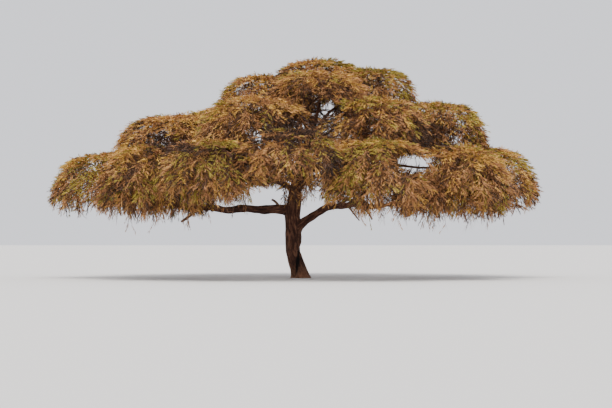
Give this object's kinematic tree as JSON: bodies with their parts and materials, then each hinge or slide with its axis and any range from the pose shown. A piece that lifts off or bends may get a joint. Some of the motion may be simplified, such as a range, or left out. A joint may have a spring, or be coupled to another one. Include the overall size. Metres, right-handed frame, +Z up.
{
  "type": "acacia tree",
  "caption": "Broad flat-crowned thorn tree with a leaning fluted trunk, level and arching boughs, dead snags, and weeping masses of fine twigs and leaves in tiers.",
  "frame": {"origin": "middle of the flat cut under the trunk, at ground level", "axes": "+Z up, +X across the widest front view towards the bough that forks low on the trunk's right, +Y away from the front"},
  "size_m": [22.4129, 19.6273, 9.9844],
  "materials": {
    "bark": "rough dark brown bark with long fissures",
    "dead_wood": "weathered bare wood, matt",
    "foliage": "fine twigs and tiny leaves, golden brown to olive green, matt"
  },
  "bodies": {
    "root": {"trunk": "bark", "bough_rim_left": "bark", "bough_rim_left_front": "bark", "bough_rim_left_back": "bark", "bough_rim_right_front": "bark", "bough_rim_front_right": "bark", "bough_rim_front": "bark", "bough_rim_front_left": "bark", "bough_rim_back_left": "bark", "bough_rim_back": "bark", "bough_rim_back_right": "bark", "bough_rim_right": "bark", "bough_rim_right_back": "bark", "bough_upper_left": "bark", "bough_upper_front_left": "bark", "bough_upper_back_left": "bark", "bough_upper_right": "bark", "bough_upper_front_right": "bark", "bough_upper_back_right": "bark", "bough_top_middle": "bark", "bough_top_left": "bark", "bough_top_right": "bark", "bough_top_front": "bark", "bough_top_back": "bark", "bough_inner_front": "bark", "snag_left_hook": "dead_wood", "snag_left_drooping": "dead_wood", "snag_right": "dead_wood", "snag_right_outer": "dead_wood", "foliage_rim_left": "foliage", "foliage_rim_left_front": "foliage", "foliage_rim_left_back": "foliage", "foliage_rim_right_front": "foliage", "foliage_rim_front_right": "foliage", "foliage_rim_front": "foliage", "foliage_rim_front_left": "foliage", "foliage_rim_back_left": "foliage", "foliage_rim_back": "foliage", "foliage_rim_back_right": "foliage", "foliage_rim_right": "foliage", "foliage_rim_right_back": "foliage", "foliage_upper_left": "foliage", "foliage_upper_front_left": "foliage", "foliage_upper_back_left": "foliage", "foliage_upper_right": "foliage", "foliage_upper_front_right": "foliage", "foliage_upper_back_right": "foliage", "foliage_top_middle": "foliage", "foliage_top_left": "foliage", "foliage_top_right": "foliage", "foliage_top_front": "foliage", "foliage_top_back": "foliage", "foliage_inner_front": "foliage"}
  },
  "joints": []
}
